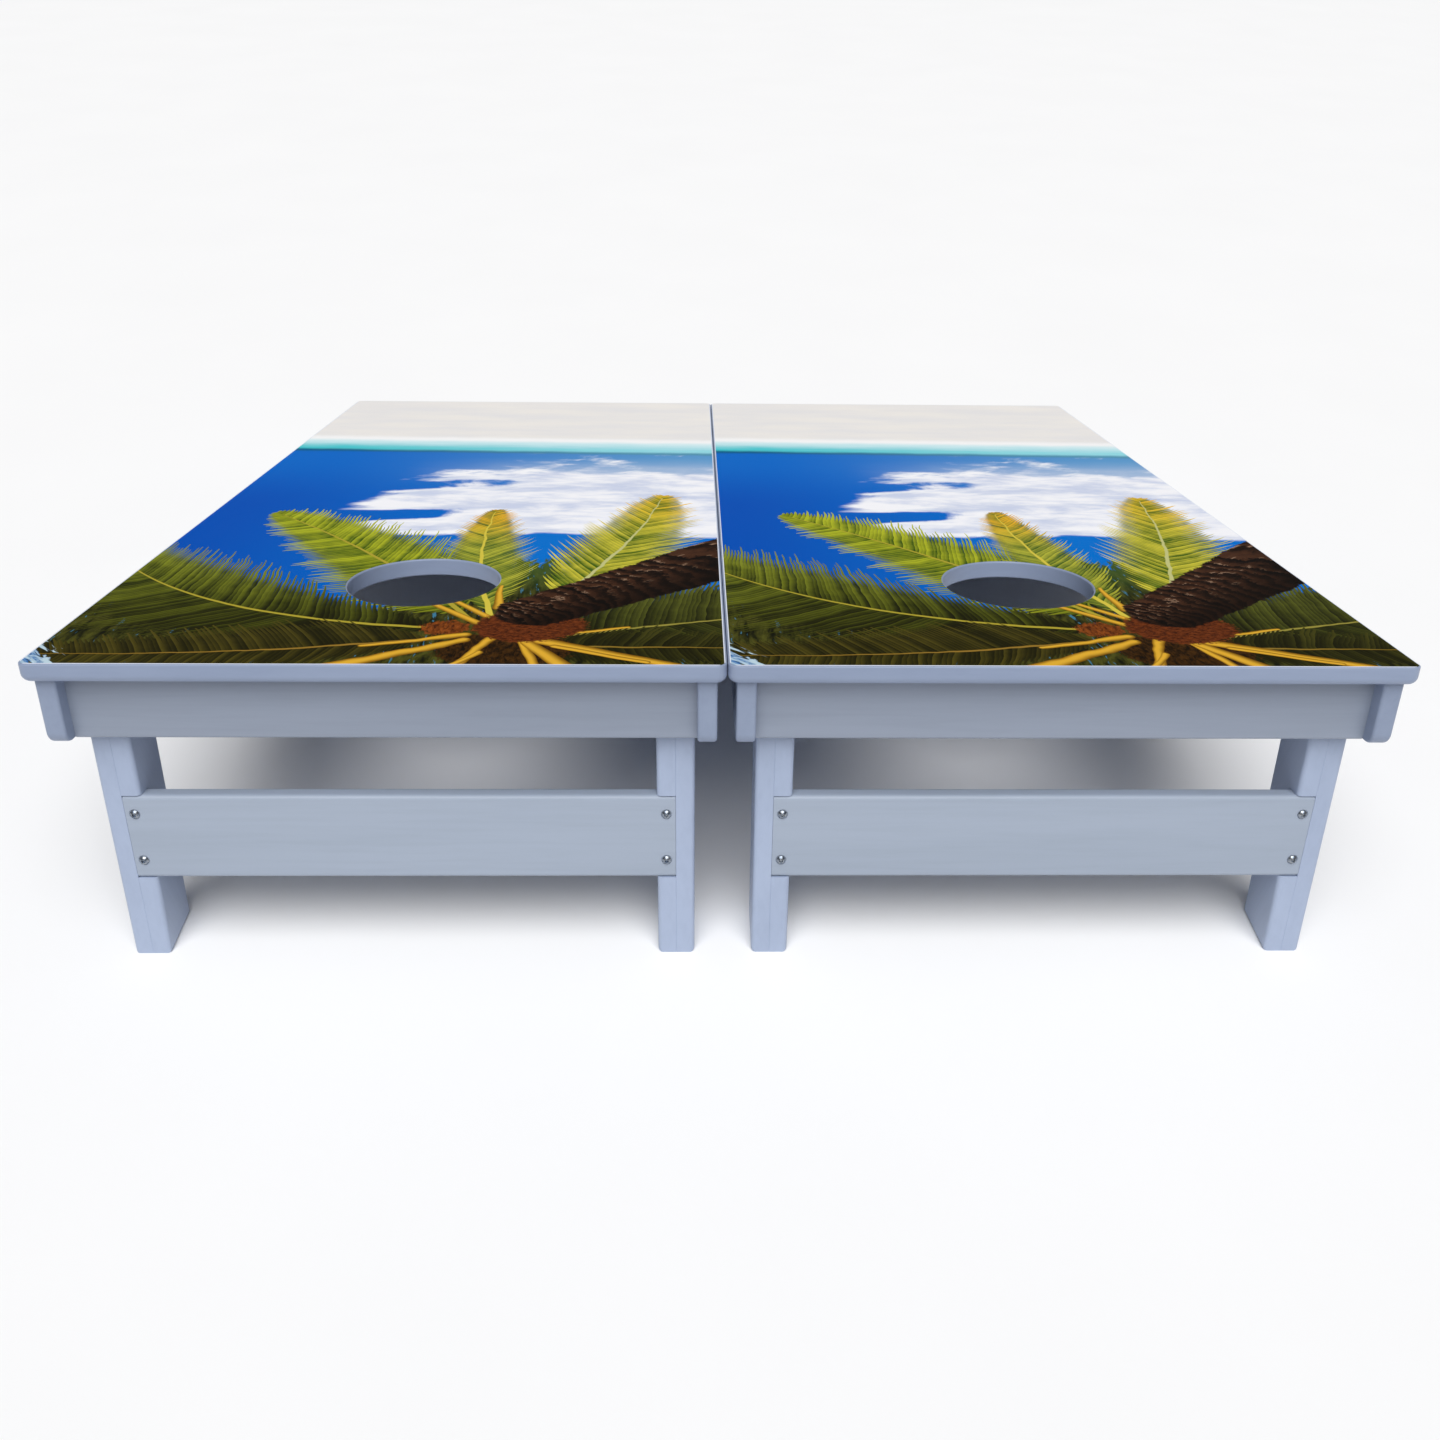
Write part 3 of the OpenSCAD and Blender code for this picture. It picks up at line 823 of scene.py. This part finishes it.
def printed_film(deck_across, deck_length, margin):
    """Satin printed film whose UV map is 1 along the deck's length."""
    material, tree, surface = new_material("beach_and_palm_print")
    coordinates = tree.nodes.new("ShaderNodeTexCoord")
    split = tree.nodes.new("ShaderNodeSeparateXYZ")
    tree.links.new(coordinates.outputs["UV"], split.inputs[0])
    flat_x = Field(tree, split.outputs[0]) * (deck_length / MM)
    flat_y = Field(tree, split.outputs[1]) * (deck_length / MM)
    sway = noise(tree, point_of(tree, flat_x * 0.001, flat_y * 0.001, 2.0), 22.0, 2.0, 0.5)
    x, y = flat_x + (sway - 0.5) * 9.0, flat_y - (sway - 0.5) * 9.0
    picture = sky_and_shore(tree, x, y)
    picture = with_thicket(tree, x, y, picture)
    picture = with_fronds(tree, x, y, picture, frond_group())
    picture = with_corner_sky(tree, x, y, picture)
    picture = with_crown(tree, x, y, picture)
    picture = with_stems(tree, x, y, picture, stem_group(), STEMS)
    picture = with_husk(tree, x, y, picture)
    picture = with_trunk(tree, x, y, picture)
    picture = with_white_edge(tree, flat_x, flat_y, picture, deck_across / MM, deck_length / MM, margin / MM)
    connect(tree, picture, surface.inputs["Base Color"])
    weave = noise(tree, coordinates.outputs["UV"], 900.0, 2.0, 0.5)
    connect(tree, weave * 0.1 + 0.42, surface.inputs["Roughness"])
    bump(tree, surface, weave, 0.06, 0.0002)
    surface.inputs["Specular IOR Level"].default_value = 0.008
    return material


# How far the paint's grain stretches along the wood and across it
LONG_GRAIN = 1.1
CROSS_GRAIN = 0.06
BOARD_GRAIN = 0.3

paint_group = brushed_paint_group()
across_grain = painted_wood("painted_across", paint_group, (LONG_GRAIN, CROSS_GRAIN, CROSS_GRAIN),
                            srgb(162, 173, 190), srgb(152, 163, 179))
# The end rails and brace take a darker copy of the stretcher's paint: painted shade, for the shade under the
# deck's overhang
rail_grain_shaded = painted_wood("painted_end_rail", paint_group, (LONG_GRAIN, CROSS_GRAIN, CROSS_GRAIN),
                          srgb(145, 154, 171), srgb(136, 145, 161))
# The side rails take a darker copy of the same paint: painted shade, for the shade under the deck's overhang
forward_grain_shaded = painted_wood("painted_forward", paint_group, (CROSS_GRAIN, LONG_GRAIN, CROSS_GRAIN),
                             srgb(140, 152, 176), srgb(131, 143, 167))
upright_grain = painted_wood("painted_upright", paint_group, (CROSS_GRAIN, CROSS_GRAIN, LONG_GRAIN),
                             srgb(168, 181, 206), srgb(158, 171, 196))
# The deck takes a darker, bluer copy of the same paint: painted shade on its edges
deck_paint_shaded = painted_wood("painted_deck", paint_group, (BOARD_GRAIN, BOARD_GRAIN, CROSS_GRAIN),
                          srgb(142, 155, 181), srgb(132, 145, 171), grain=0.6)
zinc = plated_steel()
insert_nylon = nylon()


# ---- Deck and film ----

def bag_hole(number):
    """The bag hole's middle, in board coordinates, and its radius."""
    stated = mount(f"board{number}_bag_hole")
    return PLACE[number].inverted() @ Vector(stated["pos_m"]), stated["dims"]["r_mm"] * MM


def pierced(mesh, middle, radius, low_z, high_z):
    """mesh with a round hole right through it."""
    start = Vector((middle.x, middle.y, low_z - OVERRUN))
    end = Vector((middle.x, middle.y, high_z + OVERRUN))
    return carved(mesh, rod(radius, start, end, HOLE_STEPS))


def deck(number):
    """The panel, its corners rounded in plan and its top and bottom edges eased."""
    low, high = board_box(number, "deck")
    middle = (low + high) / 2
    hole, radius = bag_hole(number)
    mesh = block(low, high)
    round_edges(mesh, DECK_CORNER, 10, lambda at, way: abs(way.z) > 0.9)
    mesh = pierced(mesh, hole, radius, low.z, high.z)

    def by_hole(at):
        return (Vector((at.x, at.y)) - Vector((hole.x, hole.y))).length < radius * 1.01

    def by_corner(at):
        over = Vector((abs(at.x - middle.x) - (high.x - middle.x - DECK_CORNER),
                       abs(at.y - middle.y) - (high.y - middle.y - DECK_CORNER)))
        return over.x > 0 and over.y > 0 and over.length > DECK_CORNER * 0.98

    def on_outline(at):
        straight = any(near(at[i], side[i]) for i in (0, 1) for side in (low, high))
        return straight or by_corner(at) and not by_hole(at)

    for height, outline, edge_round, segments in (
            (high.z, on_outline, DECK_TOP_ROUND, 4), (low.z, on_outline, DECK_BOTTOM_ROUND, 6),
            (high.z, by_hole, HOLE_TOP_ROUND, 4), (low.z, by_hole, HOLE_BOTTOM_ROUND, 3)):
        round_edges(mesh, edge_round, segments, lambda at, way: near(at.z, height) and outline(at))
    return piece(number, "deck", "painted", mesh, "", deck_paint_shaded)


def print_film(number, material, deck_length):
    """The film, with a UV map that measures from the deck's left and rear edges."""
    low, high = board_box(number, "print_film")
    deck_low, _ = board_box(number, "deck")
    hole, radius = bag_hole(number)
    mesh = block(low, high)
    round_edges(mesh, FILM_CORNER, 10, lambda at, way: abs(way.z) > 0.9)
    mesh = pierced(mesh, hole, radius + HOLE_TOP_ROUND, low.z, high.z)
    uv = mesh.loops.layers.uv.new("print")
    for face in mesh.faces:
        for loop in face.loops:
            loop[uv].uv = (loop.vert.co - deck_low).xy / deck_length
    return piece(number, "print_film", "printed", mesh, "", material)


# ---- Rails ----

def pocket_cutters(number, low, high):
    """Slanted pockets for the pocket screws whose middles lie inside a rail's box."""
    cutter = bmesh.new()
    rail = (low + high) / 2
    to_middle = sum(board_box(number, "deck"), Vector()) / 2 - rail
    crosswise = high.x - low.x > high.y - low.y
    if crosswise:
        inward = Vector((0, math.copysign(1, to_middle.y), 0))
    else:
        inward = Vector((math.copysign(1, to_middle.x), 0, 0))
    way = inward * math.sin(POCKET_SLANT) - Vector((0, 0, math.cos(POCKET_SLANT)))
    for screw_low, screw_high in islands(number, "pocket_screws"):
        screw = (screw_low + screw_high) / 2
        if low.x < screw.x < high.x and low.y < screw.y < high.y:
            pilot = Vector((screw.x, rail.y, high.z) if crosswise else (rail.x, screw.y, high.z))
            added(cutter, rod(POCKET_RADIUS, pilot + way * POCKET_START, pilot + way * POCKET_END, 32))
    return cutter


def screw_head_cutters(number, side_x, outward):
    """Countersinks for the rail screws in a side rail's outer face."""
    cutter = bmesh.new()
    for low, high in islands(number, "rail_screws"):
        middle = (low + high) / 2
        if middle.x * outward > 0:
            head = tapered(COUNTERSINK_RADIUS, FLUSH_SHANK_RADIUS, COUNTERSINK_DEPTH, 32)
            at = Vector((side_x - outward * COUNTERSINK_SINK, middle.y, middle.z))
            added(cutter, head, along((-outward, 0, 0), at))
    return cutter


def bolt_seat(number, outward):
    """The middle of the face that a pivot bolt's head sits on, and the bolt's length under the head."""
    for low, high in islands(number, "pivot_bolts"):
        middle = (low + high) / 2
        if middle.x * outward > 0:
            outer, inner = (high.x, low.x) if outward > 0 else (low.x, high.x)
            seat = outer - outward * BOLT_HEAD_HEIGHT
            return Vector((seat, middle.y, middle.z)), abs(seat - inner)


def side_rail(number, side):
    part = f"{side}_rail"
    low, high = board_box(number, part)
    outward = SIDES[side]
    outer_x = high.x if outward > 0 else low.x
    mesh = block(low, high)
    round_edges(mesh, RAIL_CORNER, 10, lambda at, way: abs(way.x) > 0.9 and near(at.z, low.z))

    def below_deck(at):
        return not near(at.z, high.z) and (near(at.x, low.x) or near(at.x, high.x))

    round_edges(mesh, RAIL_ROUND, 3, lambda at, way: abs(way.x) < 0.1 and below_deck(at))
    cutter = pocket_cutters(number, low, high)
    added(cutter, screw_head_cutters(number, outer_x, outward))
    seat, _ = bolt_seat(number, outward)
    added(cutter, rod(BOLT_RECESS_RADIUS, seat, seat + Vector((outward * 2 * OVERRUN, 0, 0)), 64))
    mesh = carved(mesh, cutter)
    return piece(number, part, "painted", mesh, "", forward_grain_shaded)


def cross_rail(number, part):
    low, high = board_box(number, part)
    mesh = block(low, high)
    round_edges(mesh, RAIL_ROUND, 3, lambda at, way: abs(way.x) > 0.9 and near(at.z, low.z))
    if part != "cross_brace":
        mesh = carved(mesh, pocket_cutters(number, low, high))
    return piece(number, part, "painted", mesh, "", rail_grain_shaded)


# ---- Leg frame ----

def leg_ply(number, side, layer):
    """Half round at the top, its sole cut level, rounded on its free edges and crisp along the glued seam."""
    part = f"{side}_leg_{layer}_ply"
    low, high = board_box(number, part)
    outward = SIDES[side] * (1 if layer == "outer" else -1)
    free_x, seam_x = (high.x, low.x) if outward > 0 else (low.x, high.x)
    mesh = block(low - Vector((0, 0, 2 * OVERRUN)), high)
    half = (high.y - low.y) / 2
    round_edges(mesh, half * 0.999, 24, lambda at, way: abs(way.x) > 0.9 and near(at.z, high.z))
    bmesh.ops.remove_doubles(mesh, verts=mesh.verts, dist=0.1 * MM)
    ground = PLACE[number].inverted()
    sole = ground @ Vector((0, 0, 0))
    down = (ground.to_3x3() @ Vector((0, 0, -1))).normalized()
    cut = bmesh.ops.bisect_plane(mesh, geom=mesh.verts[:] + mesh.edges[:] + mesh.faces[:], plane_co=sole,
                                 plane_no=down, clear_outer=True)
    rim = [item for item in cut["geom_cut"] if isinstance(item, bmesh.types.BMEdge)]
    bmesh.ops.edgeloop_fill(mesh, edges=rim)
    bmesh.ops.recalc_face_normals(mesh, faces=mesh.faces)
    round_edges(mesh, LEG_ROUND, 4, lambda at, way: near(at.x, free_x))
    round_edges(mesh, SEAM_ROUND, 1, lambda at, way: near(at.x, seam_x))
    cutter = bmesh.new()
    pivot = PLACE[number].inverted() @ Vector(joint(f"board{number}_legs_fold")["pos_m"])
    run = Vector((3 * OVERRUN, 0, 0))
    middle = Vector(((low.x + high.x) / 2, pivot.y, pivot.z))
    added(cutter, rod(BOLT_RADIUS + BOLT_PLAY, middle - run, middle + run, 32))
    if layer == "inner":
        bar_low, bar_high = board_box(number, "stretcher")
        fit = Vector((OVERRUN, HOUSING_GAP, HOUSING_GAP))
        notch_low = Vector((low.x, bar_low.y - OVERRUN, bar_low.z)) - fit
        notch_high = Vector((high.x, bar_high.y, bar_high.z)) + fit
        added(cutter, block(notch_low, notch_high))
    mesh = carved(mesh, cutter)
    return piece(number, part, "painted", mesh, "_leg_frame", upright_grain)


def stretcher(number):
    low, high = board_box(number, "stretcher")
    inset = Vector((HOUSING_GAP, 0, 0))
    mesh = block(low + inset, high - inset)
    round_edges(mesh, STRETCHER_ROUND, 4, lambda at, way: abs(way.x) > 0.9)
    round_edges(mesh, SEAM_ROUND, 1, lambda at, way: abs(way.x) < 0.1)
    dimples = bmesh.new()
    for screw_low, screw_high in islands(number, "stretcher_screws"):
        middle = (screw_low + screw_high) / 2
        dimple = tapered(DIMPLE_RADIUS, DIMPLE_FLOOR_RADIUS, 2 * DIMPLE_DEPTH, 40)
        added(dimples, dimple, along((0, 1, 0), Vector((middle.x, low.y, middle.z))))
    mesh = carved(mesh, dimples)
    return piece(number, "stretcher", "painted", mesh, "_leg_frame", across_grain)


# ---- Fasteners ----

def dome_profile(radius, height, base=0.0, steps=8):
    """Arc from the rim of a domed head, at height base, to its top, as (radius, height) points."""
    sphere = (radius * radius + height * height) / (2 * height)
    spread = math.asin(radius / sphere)
    middle = base + height - sphere
    angles = [spread * (1 - i / steps) for i in range(steps + 1)]
    return [(sphere * math.sin(angle), sphere * math.cos(angle) + middle) for angle in angles]


def drilled(mesh, drive, top):
    """mesh with a six-lobed recess cut down into it from top, as two crossed hexagons."""
    radius, depth = drive
    middle = Matrix.Translation((0, 0, top - depth / 2 + DRIVE_OVERRUN))
    for turn in (0, 30):
        lobe = tapered(radius * DRIVE_TAPER, radius, depth, 6)
        turned_lobe = middle @ Matrix.Rotation(math.radians(turn), 4, "Z")
        bmesh.ops.transform(lobe, matrix=turned_lobe, verts=lobe.verts)
        mesh = carved(mesh, lobe)
    return mesh


def pan_head_screw(length):
    """Pan head screw with its head above z = 0 and its shank below."""
    profile = [(0, -length), (PAN_SHANK_RADIUS, -length + SCREW_POINT), (PAN_SHANK_RADIUS, 0),
               (PAN_HEAD_RADIUS, 0)]
    profile += dome_profile(PAN_HEAD_RADIUS, PAN_HEAD_DOME, PAN_HEAD_RIM)
    return drilled(turned(profile, 40), PAN_DRIVE, PAN_HEAD_HEIGHT)


def stretcher_screws(number):
    mesh = bmesh.new()
    for low, high in islands(number, "stretcher_screws"):
        middle = (low + high) / 2
        face = low.y + PAN_HEAD_HEIGHT
        added(mesh, pan_head_screw(high.y - face), along((0, -1, 0), Vector((middle.x, face, middle.z))))
    return piece(number, "stretcher_screws", "plated", mesh, "_leg_frame", zinc)


def rail_screws(number):
    """Countersunk screws, their heads flush with the side rails."""
    mesh = bmesh.new()
    for low, high in islands(number, "rail_screws"):
        middle = (low + high) / 2
        outward = 1 if middle.x > 0 else -1
        outer_x = high.x if outward > 0 else low.x
        length = high.x - low.x
        profile = [(0, -length), (FLUSH_SHANK_RADIUS, -length + SCREW_POINT),
                   (FLUSH_SHANK_RADIUS, -FLUSH_HEAD_HEIGHT), (FLUSH_HEAD_RADIUS, -FLUSH_HEAD_EDGE),
                   (FLUSH_HEAD_RADIUS, -FLUSH_HEAD_SINK), (0, -FLUSH_HEAD_SINK)]
        screw = drilled(turned(profile, 32), FLUSH_DRIVE, 0)
        added(mesh, screw, along((outward, 0, 0), Vector((outer_x, middle.y, middle.z))))
    return piece(number, "rail_screws", "plated", mesh, "", zinc)


def bolts(number):
    """Carriage bolts, their domed heads sunk in the side rails, threaded at the end."""
    mesh = bmesh.new()
    root = BOLT_RADIUS - THREAD_DEPTH
    for outward in SIDES.values():
        seat, length = bolt_seat(number, outward)
        profile = [(0, -length), (root, -length)]
        for turn in range(THREAD_TURNS):
            start = -length + turn * THREAD_PITCH
            profile += [(BOLT_RADIUS, start + THREAD_PITCH / 2), (root, start + THREAD_PITCH)]
        profile += [(BOLT_RADIUS, -length + (THREAD_TURNS + 0.5) * THREAD_PITCH), (BOLT_RADIUS, 0),
                    (BOLT_HEAD_RADIUS - BOLT_HEAD_EDGE, 0)]
        profile += dome_profile(BOLT_HEAD_RADIUS, BOLT_HEAD_HEIGHT, steps=12)
        added(mesh, turned(profile), along((outward, 0, 0), seat))
    return piece(number, "pivot_bolts", "plated", mesh, "", zinc)


def washers(number, part):
    half = WASHER_THICKNESS / 2
    face = WASHER_RADIUS - WASHER_EDGE
    outline = [(WASHER_BORE, -half), (face, -half), (WASHER_RADIUS, -half + WASHER_EDGE),
               (WASHER_RADIUS, half - WASHER_EDGE), (face, half), (WASHER_BORE, half)]
    mesh = bmesh.new()
    for low, high in islands(number, part):
        added(mesh, turned(outline, ring=True), along((1, 0, 0), (low + high) / 2))
    return piece(number, part, "plated", mesh, "", zinc)


def nut_disc(rim):
    """A disc on a nut, turned from the points of its rim."""
    top = NUT_HEX_HEIGHT + COLLAR_HEIGHT
    outline = [(COLLAR_RADIUS - inward, top - down) for inward, down in rim]
    return turned([(0, outline[0][1])] + outline + [(0, outline[-1][1])])


def lock_nuts(number):
    """Hexagonal nuts with chamfered corners and a crimped collar that holds a nylon ring."""
    nuts, inserts = bmesh.new(), bmesh.new()
    for low, high in islands(number, "lock_nuts"):
        middle = (low + high) / 2
        inward = -1 if middle.x > 0 else 1
        place = along((inward, 0, 0), Vector((high.x if inward < 0 else low.x, middle.y, middle.z)))
        nut = tapered(NUT_RADIUS, NUT_RADIUS, NUT_HEX_HEIGHT, 6)
        bmesh.ops.translate(nut, vec=(0, 0, NUT_HEX_HEIGHT / 2), verts=nut.verts)
        round_edges(nut, NUT_EDGE_ROUND, 2, lambda at, way: abs(way.z) < 0.1)
        added(nuts, nut, place)
        added(nuts, nut_disc(COLLAR_RIM), place)
        added(inserts, nut_disc(INSERT_RIM), place)
    piece(number, "lock_nuts", "plated", nuts, "", zinc)
    bmesh.ops.transform(inserts, matrix=PLACE[number], verts=inserts.verts)
    insert = smoothed(new_object(f"board{number}_lock_nut_inserts", inserts))
    insert.data.materials.append(insert_nylon)
    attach(insert, f"board{number}")


def pocket_screws(number):
    """The CAD screws keep their shape and take the plate."""
    for slot in frame["nodes"][node_name(number, "pocket_screws")].material_slots:
        slot.material = zinc


deck_low, deck_high = board_box(1, "deck")
deck_across, deck_length = deck_high.x - deck_low.x, deck_high.y - deck_low.y
film_margin = board_box(1, "print_film")[0].x - deck_low.x
film_print = printed_film(deck_across, deck_length, film_margin)
for number in BOARDS:
    deck(number)
    print_film(number, film_print, deck_length)
    for part in ("rear_rail", "front_rail", "cross_brace"):
        cross_rail(number, part)
    for side in SIDES:
        side_rail(number, side)
        leg_ply(number, side, "outer")
        leg_ply(number, side, "inner")
    stretcher(number)
    stretcher_screws(number)
    rail_screws(number)
    bolts(number)
    washers(number, "spacer_washers")
    washers(number, "leg_washers")
    lock_nuts(number)
    pocket_screws(number)


# ---- Studio ----

def floor():
    mesh = bmesh.new()
    bmesh.ops.create_grid(mesh, x_segments=1, y_segments=1, size=60)
    thing = new_object("floor", mesh)
    material, tree, surface = new_material("pale_floor")
    coordinates = tree.nodes.new("ShaderNodeTexCoord")
    mottle = noise(tree, coordinates.outputs["Object"], 3.0, 3.0, 0.5)
    colour = blend(tree, mottle, (0.9, 0.9, 0.905, 1), (0.93, 0.93, 0.935, 1))
    tree.links.new(colour, surface.inputs["Base Color"])
    surface.inputs["Roughness"].default_value = 0.9
    surface.inputs["Specular IOR Level"].default_value = 0.1
    thing.data.materials.append(material)


AMBIENT = 0.14
BACKDROP = 0.96
KEY_ELEVATION = math.radians(65)
KEY_SOFTNESS = math.radians(56)
KEY_STRENGTH = 3.15


def studio():
    """Broad soft light from above and behind the camera, a dimmer all-round light and a pale backdrop."""
    world = bpy.data.worlds.new("studio")
    world.use_nodes = True
    tree = world.node_tree
    background = tree.nodes["Background"]
    rays = tree.nodes.new("ShaderNodeLightPath")
    seen = Field(tree, rays.outputs["Is Camera Ray"])
    connect(tree, seen * (BACKDROP - AMBIENT) + AMBIENT, background.inputs["Strength"])
    background.inputs["Color"].default_value = (1.0, 1.0, 1.0, 1)
    bpy.context.scene.world = world
    data = bpy.data.lights.new("key", "SUN")
    data.energy = KEY_STRENGTH
    data.angle = KEY_SOFTNESS
    key = bpy.data.objects.new("key", data)
    bpy.context.scene.collection.objects.link(key)
    from_key = Vector((0, math.cos(KEY_ELEVATION), -math.sin(KEY_ELEVATION)))
    key.rotation_euler = from_key.to_track_quat("-Z", "Y").to_euler()


# The camera stands behind the raised ends, given in deck coordinates from the middle of the pair's rear edge
CAMERA_AT = Vector((-0.0304, -1.0119, 0.4097))
CAMERA_PITCH = math.radians(24.475)
CAMERA_YAW = math.radians(1.362)
CAMERA_ROLL = math.radians(0.661)
CAMERA_LENS = 31.58


def camera():
    turn = board_turn(1)
    middle = (PLACE[1].translation + PLACE[2].translation) / 2
    heading = Vector((math.sin(CAMERA_YAW), math.cos(CAMERA_YAW), 0))
    forward = heading * math.cos(CAMERA_PITCH) - Vector((0, 0, math.sin(CAMERA_PITCH)))
    right = Vector((math.cos(CAMERA_YAW), -math.sin(CAMERA_YAW), 0))
    down = forward.cross(right)
    rolled_right = right * math.cos(CAMERA_ROLL) - down * math.sin(CAMERA_ROLL)
    rolled_down = right * math.sin(CAMERA_ROLL) + down * math.cos(CAMERA_ROLL)
    axes = Matrix((rolled_right, -rolled_down, -forward)).transposed()
    data = bpy.data.cameras.new("camera")
    data.lens = CAMERA_LENS
    data.sensor_width = 36
    thing = bpy.data.objects.new("camera", data)
    bpy.context.scene.collection.objects.link(thing)
    thing.matrix_world = Matrix.Translation(middle + turn @ CAMERA_AT) @ (turn @ axes).to_4x4()
    bpy.context.scene.camera = thing


floor()
studio()
camera()
bpy.context.scene.view_settings.view_transform = "Standard"
